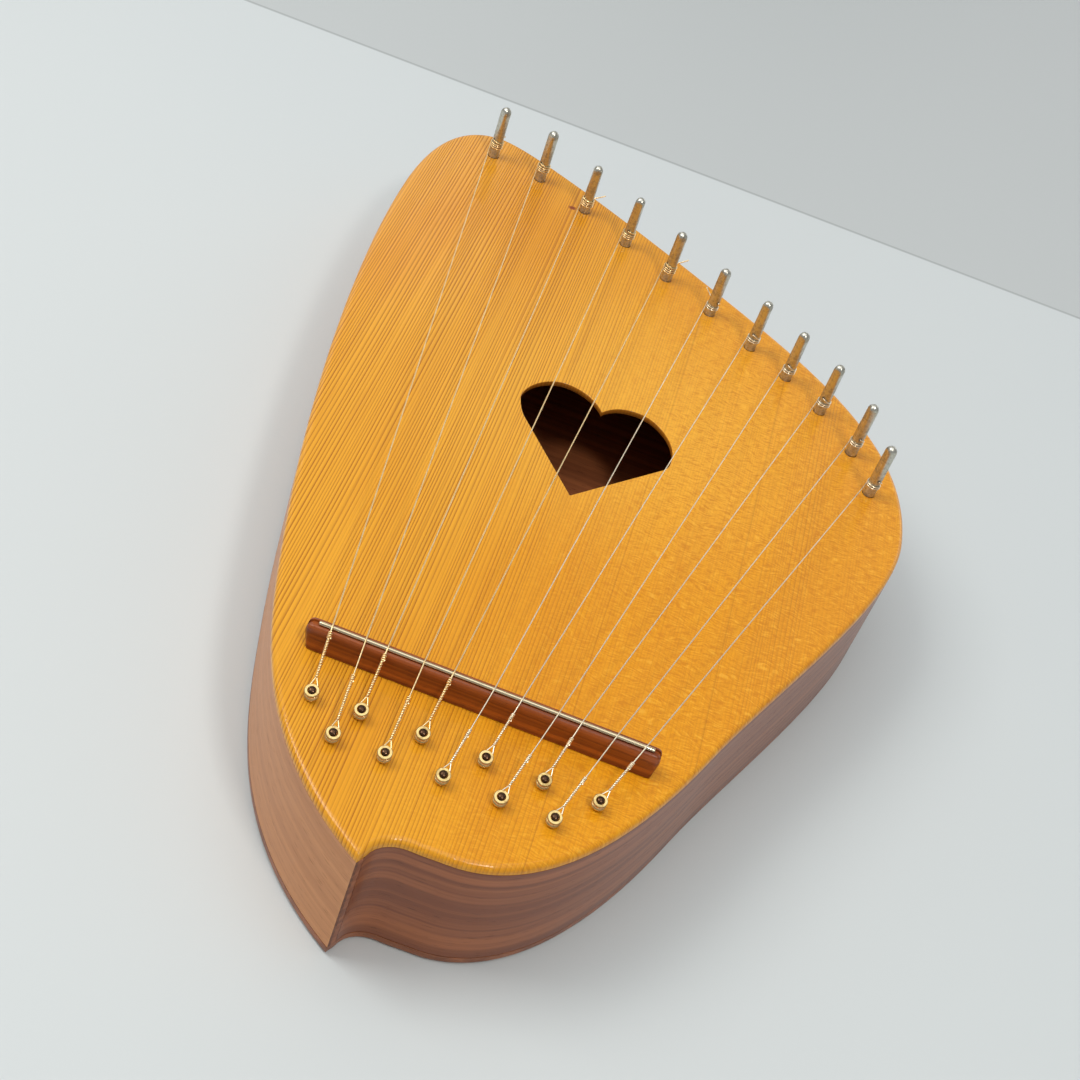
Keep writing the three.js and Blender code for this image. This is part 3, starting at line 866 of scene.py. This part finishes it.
def bridge_bar():
    """A bar with a wide foot and a narrow crowned top, its ends rounded and leaning a little."""
    low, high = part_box("bridge")
    middle_y = (low.y + high.y) / 2
    length = high.x - low.x
    foot = BOARD_TOP + 0.03 * MM
    height = high.z - foot
    slot_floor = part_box("bridge_rod")[1].z - 2 * ROD_RADIUS - 0.1 * MM
    left_lean = 1.6 * MM
    right_lean = -0.8 * MM
    lean_length = 8 * MM
    section = bridge_section((high.y - low.y) / 2, height, slot_floor - foot)
    rings = []
    for x, share in bridge_stations(length):
        lean = left_lean if x < length / 2 else right_lean
        near_end = max(0.0, 1 - min(x, length - x) / lean_length)
        top_share = 0.25 + 0.75 * share
        ring = []
        for y, z in section:
            level = z * (top_share if z > 0.5 * height else 1.0)
            leaned = low.x + x - (z / height) * lean * near_end
            ring.append(Vector((leaned, middle_y + y * share, foot + level)))
        rings.append(ring)
    vertices = []
    faces = []
    starts = join_rings(vertices, faces, rings)
    faces.append(tuple(reversed(range(len(section)))))
    faces.append(tuple(range(starts[-1], len(vertices))))
    mesh = solid_of("bridge_bar", vertices, faces, 40)
    piece = make("bridge_bar", mesh, BRIDGE_WOOD)
    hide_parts("bridge")
    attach(piece, ROOT)


def bridge_rod():
    """A round rod with softened ends, as high as the CAD rod's top."""
    low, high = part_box("bridge_rod")
    steps = 24
    stations = []
    for share in (0.15, 0.5, 0.8, 0.95, 1.0):
        back = ROD_RADIUS * 0.5 * (1 - math.sqrt(1 - share ** 2))
        stations.append((low.x + back, share))
        stations.append((high.x - back, share))
    stations += [(low.x + (high.x - low.x) * step / steps, 1.0) for step in range(1, steps)]
    stations.sort()
    middle_y = (low.y + high.y) / 2
    points = [Vector((x, middle_y, high.z - ROD_RADIUS)) for x, share in stations]
    radii = [ROD_RADIUS * share for x, share in stations]
    mesh = mesh_of("bridge_rod_round", *tube(points, radii, 20), 40)
    piece = make("bridge_rod_round", mesh, ROD_METAL)
    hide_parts("bridge_rod")
    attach(piece, ROOT)


# -------------------- tuning pins


def pin_radius_at(angle, height):
    """How far a pin's skin stands from its axis: thread below, then four tapering flats."""
    dome_start = PIN_HEIGHT - PIN_DOME_HEIGHT
    above_thread = (height - THREAD_TOP) / (dome_start - THREAD_TOP)
    body = PIN_RADIUS - PIN_TAPER * max(0.0, min(1.0, above_thread))
    if height < THREAD_TOP:
        turn = height / THREAD_PITCH - angle / (2 * math.pi)
        body += THREAD_DEPTH * (math.cos(turn * 2 * math.pi) - 0.6)
    climb = max(0.0, (height - PIN_FLATS_START) / (dome_start - PIN_FLATS_START))
    narrowing = (PIN_RADIUS - PIN_FLATS_TOP_HALF) * min(1.0, climb) ** PIN_FLATS_CURVE
    half = PIN_RADIUS + 0.02 * MM - narrowing
    flat = half / max(abs(math.cos(angle)), abs(math.sin(angle)))
    sharpness = PIN_CORNER_SHARPNESS
    return (body ** -sharpness + flat ** -sharpness) ** (-1 / sharpness)


def pin_levels():
    """Heights of a pin's rings up to its dome, closest together in the thread."""
    shank_steps = 26
    dome_start = PIN_HEIGHT - PIN_DOME_HEIGHT
    levels = []
    z = -PIN_BURIED
    while z < THREAD_TOP:
        levels.append(z)
        z += THREAD_PITCH / THREAD_RINGS
    for step in range(shank_steps + 1):
        levels.append(THREAD_TOP + (dome_start - THREAD_TOP) * step / shank_steps)
    return levels


def pin_mesh():
    """Zither pin about Z: fine thread, string hole, four tapering flats above it and a domed top."""
    dome_start = PIN_HEIGHT - PIN_DOME_HEIGHT
    dome_steps = 7
    turns = [2 * math.pi * i / PIN_SIDES for i in range(PIN_SIDES)]
    spokes = [Vector((math.cos(a), math.sin(a), 0)) for a in turns]
    rings = []
    for height in pin_levels():
        up = Vector((0, 0, height))
        rings.append([spoke * pin_radius_at(a, height) + up for a, spoke in zip(turns, spokes)])
    for step in range(1, dome_steps):
        angle = math.pi / 2 * step / dome_steps
        round_share = math.sin(angle)
        up = Vector((0, 0, dome_start + PIN_DOME_HEIGHT * round_share))
        ring = []
        for a, spoke in zip(turns, spokes):
            rim = pin_radius_at(a, dome_start) * (1 - round_share) + PIN_DOME_RADIUS * round_share
            ring.append(spoke * rim * math.cos(angle) + up)
        rings.append(ring)
    vertices = []
    faces = []
    last = join_rings(vertices, faces, rings)[-1]
    top = len(vertices)
    vertices.append(Vector((0, 0, PIN_HEIGHT)))
    for i in range(PIN_SIDES):
        faces.append((last + i, last + (i + 1) % PIN_SIDES, top))
    faces.append(tuple(reversed(range(PIN_SIDES))))
    return bored(solid_of("zither_pin", vertices, faces, 40))


def bored(blank):
    """The blank with its string hole drilled along X."""
    drill_reach = 6 * MM
    ends = [Vector((x, 0, PIN_HOLE_HEIGHT)) for x in (-drill_reach, drill_reach)]
    drill = make("drill", solid_of("drill", *tube(ends, PIN_HOLE_RADIUS, 16), 40))
    pin = make("pin_blank", blank)
    cut = pin.modifiers.new("hole", "BOOLEAN")
    cut.object = drill
    cut.operation = "DIFFERENCE"
    cut.solver = "EXACT"
    bpy.context.view_layer.update()
    evaluated = pin.evaluated_get(bpy.context.evaluated_depsgraph_get())
    mesh = bpy.data.meshes.new_from_object(evaluated)
    bpy.data.objects.remove(pin)
    bpy.data.objects.remove(drill)
    smooth(mesh, 33)
    return mesh


def coil_points(number, wire):
    """A coil's centre line about its pin's axis: close turns, the climb into the hole and the tail."""
    turns = 4 if number <= BRONZE_STRINGS else 3
    pitch = (0.95 if number <= BRONZE_STRINGS else 1.0) * MM
    radius = PIN_RADIUS + wire * WIRE_STANDS_OFF
    mouth = PIN_TURN[number - 1]
    # The wire reaches the pin on its -X side and winds on until it faces the hole
    extra = (mouth - math.pi) % (2 * math.pi)
    wound = turns * 2 * math.pi - extra
    if extra > math.pi:
        wound += 2 * math.pi
    rise = pitch * wound / (2 * math.pi)
    steps = int(wound / COIL_STEP)
    points = []
    for step in range(steps + 1):
        share = step / steps
        angle = math.pi - wound * share
        climb = max(0.0, (share * wound - wound + COIL_CLIMB) / COIL_CLIMB)
        height = COIL_START + rise * share
        height += (PIN_HOLE_HEIGHT - COIL_START - rise) * climb * climb * (3 - 2 * climb)
        points.append(Vector((radius * math.cos(angle), radius * math.sin(angle), height)))
    hole = Vector((0, 0, PIN_HOLE_HEIGHT))
    outward = Vector((math.cos(mouth), math.sin(mouth), 0))
    points += [hole + outward * PIN_RADIUS * 0.86, hole]
    if number not in TAILS:
        return points + [hole - outward * PIN_RADIUS * 0.9]
    reach, lift_by, bend = TAILS[number]
    across = Vector((outward.y, -outward.x, 0))
    leaving = hole - outward * PIN_RADIUS
    tip = leaving - outward * reach + across * bend + Vector((0, 0, lift_by))
    sag = Vector((0, 0, -0.1 * MM))
    return points + [leaving, leaving * 0.4 + tip * 0.6 + sag, tip]


def coil(number, pin, wire):
    """The wire wound on a pin, which turns with the pin."""
    foot = Vector((pin.x, pin.y, BOARD_TOP - PIN_SINK[number - 1]))
    points = [point + foot for point in coil_points(number, wire)]
    mesh = mesh_of(f"string_{number:02d}_coil", *tube(points, wire, 8), 60)
    piece = make(f"string_{number:02d}_coil", mesh, BRONZE if number <= BRONZE_STRINGS else STEEL)
    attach(piece, f"pin_{number:02d}")


def tuning_pins():
    """Eleven pins that share one mesh, each driven and turned its own way."""
    mesh = pin_mesh()
    mesh.materials.clear()
    mesh.materials.append(NICKEL)
    for number in NUMBERS:
        at = pin_places[number - 1]
        pin = make(f"zither_pin_{number:02d}", mesh)
        pin.location = (at.x, at.y, BOARD_TOP - PIN_SINK[number - 1])
        pin.rotation_euler = (0, 0, PIN_TURN[number - 1])
        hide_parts(f"tuning_pin_{number:02d}")
        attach(pin, f"pin_{number:02d}")


# -------------------- ball ends, nails and strings


def spool_profile():
    """(radius, z) round a grooved brass spool's wall, from its bore and back to it."""
    half = BALL_HALF
    upper = [
        (BALL_GROOVE, 0.35 * MM),
        (BALL_GROOVE + 0.12 * MM, 0.62 * MM),
        (BALL_RADIUS - 0.1 * MM, half - 0.9 * MM),
        (BALL_RADIUS, half - 0.75 * MM),
        (BALL_RADIUS, half - BALL_LIP),
        (BALL_RADIUS - BALL_LIP, half),
        (BALL_BORE + BALL_LIP, half),
        (BALL_BORE, half - BALL_LIP),
    ]
    lower = [(radius, -z) for radius, z in reversed(upper)]
    return lower + upper + lower[:1]


def nail_profile():
    """(radius, z) of a round-headed nail, from its point to the top of its head."""
    dome_steps = 7
    edge = BALL_HALF + 0.12 * MM
    profile = [
        (0, -NAIL_LENGTH), (NAIL_SHANK, -NAIL_LENGTH + 1 * MM), (NAIL_SHANK, edge - 0.9 * MM),
        (NAIL_HEAD * 0.9, edge - 0.6 * MM), (NAIL_HEAD, edge - 0.45 * MM), (NAIL_HEAD, edge),
    ]
    for step in range(1, dome_steps):
        angle = math.pi / 2 * step / dome_steps
        profile.append((NAIL_HEAD * math.cos(angle), edge + 0.55 * MM * math.sin(angle)))
    return profile + [(0, edge + 0.56 * MM)]


def ball_and_nail(number):
    """A brass spool and the nail through it, leaning back together; the spool sits a little askew."""
    to_place = Matrix.Translation(ball_places[number - 1]) @ Matrix.Rotation(NAIL_LEAN, 4, "X")
    generator = random.Random(number)
    askew = Matrix.Rotation(math.radians(generator.uniform(-3, 3)), 4, "Y")
    spool_mesh = solid_of(f"brass_spool_{number:02d}", *lathe(spool_profile(), 32), 40)
    spool_mesh.transform(to_place @ askew)
    spool = make(f"brass_spool_{number:02d}", spool_mesh, BRASS)
    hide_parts(f"ball_end_{number:02d}")
    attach(spool, ROOT)
    nail_mesh = mesh_of(f"round_nail_{number:02d}", *lathe(nail_profile(), 24), 50)
    nail_mesh.transform(to_place)
    nail = make(f"round_nail_{number:02d}", nail_mesh, NAIL_METAL)
    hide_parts(f"hitch_nail_{number:02d}")
    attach(nail, ROOT)


def crossing(number, wire):
    """Where a string crosses the rod: x from the CAD string, z from the rod's top."""
    rod_low, rod_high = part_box("bridge_rod")
    rod_y = (rod_low.y + rod_high.y) / 2
    cad = frame["nodes"][f"string_{number:02d}"].data
    near = [vertex.co.x for vertex in cad.vertices if abs(vertex.co.y - rod_y) < 1.2 * MM]
    return Vector((sum(near) / len(near), rod_y, rod_high.z + wire))


def helix(start, end, radius, pitch, phase):
    """Points of one strand wound round the straight line from start to end."""
    axis = end - start
    length = axis.length
    axis = axis.normalized()
    side = axis.orthogonal().normalized()
    other = axis.cross(side)
    steps = max(8, int(length / pitch * 12))
    points = []
    for step in range(steps + 1):
        along = length * step / steps
        angle = phase + 2 * math.pi * along / pitch
        spoke = side * math.cos(angle) + other * math.sin(angle)
        points.append(start + axis * along + spoke * radius)
    return points


def ball_loop(ball, neck, wire):
    """The loop in a spool's groove, from the neck round the far side and back."""
    steps = 22
    sweep = math.radians(232)
    radius = BALL_GROOVE + wire
    backward = Vector((0, -math.cos(NAIL_LEAN), -math.sin(NAIL_LEAN)))
    across = Vector((1, 0, 0))
    loop = [neck - across * wire * 0.9]
    for step in range(steps + 1):
        angle = -sweep / 2 + sweep * step / steps
        loop.append(ball + backward * radius * math.cos(angle) + across * radius * math.sin(angle))
    loop.append(neck + across * wire * 0.9)
    return loop


def string(number):
    """One string: the wire over the rod, the twist, its lock, the loop, and the coil on the pin."""
    bronze = number <= BRONZE_STRINGS
    wire = BRONZE_WIRE if bronze else STEEL_WIRE
    twist_pitch = (1.9 if bronze else 1.7) * MM
    lock_length = (1.6 if bronze else 2.2) * MM
    generator = random.Random(40 + number)
    twist_length = (21.5 if bronze else 18.0) * MM + generator.uniform(-0.8, 0.8) * MM
    ball = ball_places[number - 1]
    pin = pin_places[number - 1]
    over = crossing(number, wire)
    to_rod = (over - ball).normalized()
    neck_length = 5.2 * MM
    neck = ball + to_rod * neck_length
    twist_end = ball + to_rod * min(twist_length, (over - ball).length - 2.2 * MM)
    # The wire meets the coil on the pin's -X side
    coil_x = pin.x - (PIN_RADIUS + wire * WIRE_STANDS_OFF)
    leave = Vector((coil_x, pin.y, BOARD_TOP + COIL_START - PIN_SINK[number - 1]))
    before_rod = over - to_rod * 0.9 * MM - Vector((0, 0, 0.04 * MM))
    after_rod = over + (leave - over).normalized() * 1.2 * MM
    taut = [twist_end, before_rod, over, after_rod, leave, leave + Vector((0, 0.5 * MM, 0))]
    parts = [tube(taut, wire, 10)]
    for phase in (0.0, math.pi):
        parts.append(tube(helix(neck, twist_end, wire * 1.1, twist_pitch, phase), wire, 8))
    lock_start = twist_end - to_rod * lock_length
    lock_end = twist_end + to_rod * 0.5 * MM
    parts.append(tube(helix(lock_start, lock_end, wire * 2.0, wire * 2.6, 0.4), wire, 8))
    parts.append(tube(ball_loop(ball, neck, wire), wire, 8))
    mesh = mesh_of(f"string_{number:02d}_wire", *joined(parts), 60)
    piece = make(f"string_{number:02d}_wire", mesh, BRONZE if bronze else STEEL)
    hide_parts(f"string_{number:02d}")
    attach(piece, ROOT)
    coil(number, pin, wire)


# -------------------- build


soundboard()
back_plate()
nose_travel = travel_of(LEFT_SIDE[0][0], LEFT_SIDE[0][1])
shoulder_travel = Vector((1, 0))
fillet_travel = travel_of(RIGHT_SIDE[-1][2], RIGHT_SIDE[-1][3])
rib("side_left", "left_rib", MAHOGANY_PAINTED_LIT, left, nose_travel, shoulder_travel, 0.0)
rib("side_right", "right_rib", MAHOGANY_PAINTED_SHADE, right, shoulder_travel, fillet_travel, FILLET_TRIM)
hidden_blocks()
bridge_bar()
bridge_rod()
tuning_pins()
for string_number in NUMBERS:
    ball_and_nail(string_number)
    string(string_number)


# -------------------- stage, light and camera


def floor():
    """A pale sheet, a shade greyer beyond a thin line of painted shade, as of a fold, behind the harp.
    """
    material, tree, shader = start_material("pale_floor")
    here = place(tree)
    y = put(tree, "ShaderNodeSeparateXYZ", {0: here}).outputs[1]
    cloud = noise(tree, here, 2.0, 2.0)
    base = mix(tree, cloud, colour(204, 209, 209), colour(208, 213, 212))
    beyond = ramp(tree, y, CREASE_Y - 0.5 * MM, CREASE_Y + 0.5 * MM)
    base = mix(tree, beyond, base, colour(190, 194, 193))
    # A thin dark line of painted shade, as where a floor folds up into a wall
    painted_fold_shade = times(tree, ramp(tree, away_from(tree, y, CREASE_Y), 0.0016, 0.0004), 0.45)
    base = mix(tree, painted_fold_shade, base, colour(120, 124, 122))
    set_inputs(tree, shader, {"Base Color": base, "Roughness": 0.55})
    reach = 6.0
    corners = [(-reach, -reach, 0), (reach, -reach, 0), (reach, reach, 0), (-reach, reach, 0)]
    mesh = bpy.data.meshes.new("floor")
    mesh.from_pydata(corners, [], [(0, 1, 2, 3)])
    sheet = make("floor", mesh, material)
    sheet.location.z = -0.2 * MM


def light(name, at, aim, size, power, tint):
    """A rectangular lamp at a place, facing its aim."""
    data = bpy.data.lights.new(name, "AREA")
    data.shape = "RECTANGLE"
    data.size = size[0]
    data.size_y = size[1]
    data.energy = power
    data.color = tint
    lamp = bpy.data.objects.new(name, data)
    bpy.context.scene.collection.objects.link(lamp)
    lamp.location = at
    lamp.rotation_mode = "QUATERNION"
    lamp.rotation_quaternion = (Vector(aim) - Vector(at)).to_track_quat("-Z", "Y")


def world(strength):
    """A faintly blue even sky."""
    studio = bpy.data.worlds.new("studio")
    bpy.context.scene.world = studio
    studio.use_nodes = True
    background = studio.node_tree.nodes["Background"]
    background.inputs[0].default_value = (0.92, 0.96, 1.0, 1.0)
    background.inputs[1].default_value = strength


def camera():
    """Looks down from in front of the nose, rolled to one side."""
    data = bpy.data.cameras.new("camera")
    data.sensor_width = 36
    data.lens = 56.67
    data.clip_start = 0.01
    data.clip_end = 50
    view = bpy.data.objects.new("camera", data)
    bpy.context.scene.collection.objects.link(view)
    view.location = (-0.0100, -0.5260, 0.4490)
    tilt = Matrix.Rotation(math.radians(49.8), 4, "X")
    roll = Matrix.Rotation(math.radians(20.9), 4, "Z")
    view.rotation_mode = "QUATERNION"
    view.rotation_quaternion = (tilt @ roll).to_quaternion()
    bpy.context.scene.camera = view


floor()
light("ceiling", (-0.25, 0.0, 1.9), (0, 0, 0), (1.8, 1.8), 11.5, (1.0, 1.0, 1.0))
light("window", (-1.05, -0.12, 1.35), (0, 0, 0), (0.8, 0.8), 11, (1.0, 0.99, 0.97))
light("lamp", (0.60, -0.86, 1.6), (0, 0, 0), (0.28, 0.28), 8.5, (1.0, 0.97, 0.93))
light("far_left", (-1.0, 1.75, 0.95), (0, 0, 0.05), (1.6, 0.8), 3.5, (1.0, 1.0, 1.0))
light("far_right", (0.9, 1.75, 0.6), (0, 0, 0.05), (1.5, 0.6), 3.5, (1.0, 1.0, 1.0))
world(0.37)
camera()
bpy.context.scene.view_settings.view_transform = "Standard"
